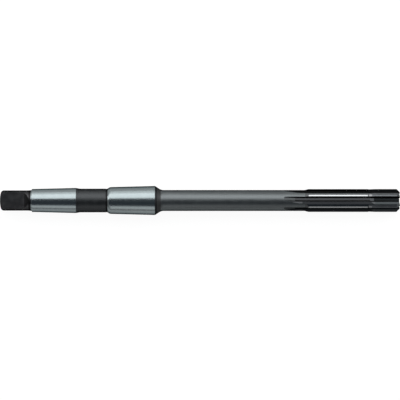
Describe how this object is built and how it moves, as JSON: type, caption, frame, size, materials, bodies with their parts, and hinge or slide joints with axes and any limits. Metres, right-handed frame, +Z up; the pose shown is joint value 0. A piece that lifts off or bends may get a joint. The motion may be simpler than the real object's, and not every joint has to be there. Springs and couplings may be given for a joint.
{
  "type": "machine reamer",
  "caption": "Straight-fluted machine reamer with brazed carbide tips, slim neck and Morse taper shank with tang, for finishing drilled holes.",
  "frame": {"origin": "on the tool's axis, in the gauge plane of the Morse taper shank", "axes": "+X along the tool's axis from the tang to the cutting end, +Z up and square to the tang's flats; the tool lies on two teeth and the large end of the shank"},
  "size_m": [0.168, 0.0122, 0.0122],
  "materials": {
    "tool_steel": "hardened tool steel: bright ground taper bands, satin turned neck, blackened tang, relief and fluted head",
    "carbide": "ground hard metal, matte mid grey"
  },
  "bodies": {
    "root": {"reamer_body": "tool_steel", "carbide_tip_1": "carbide", "carbide_tip_2": "carbide", "carbide_tip_3": "carbide", "carbide_tip_4": "carbide", "carbide_tip_5": "carbide", "carbide_tip_6": "carbide"}
  },
  "joints": []
}
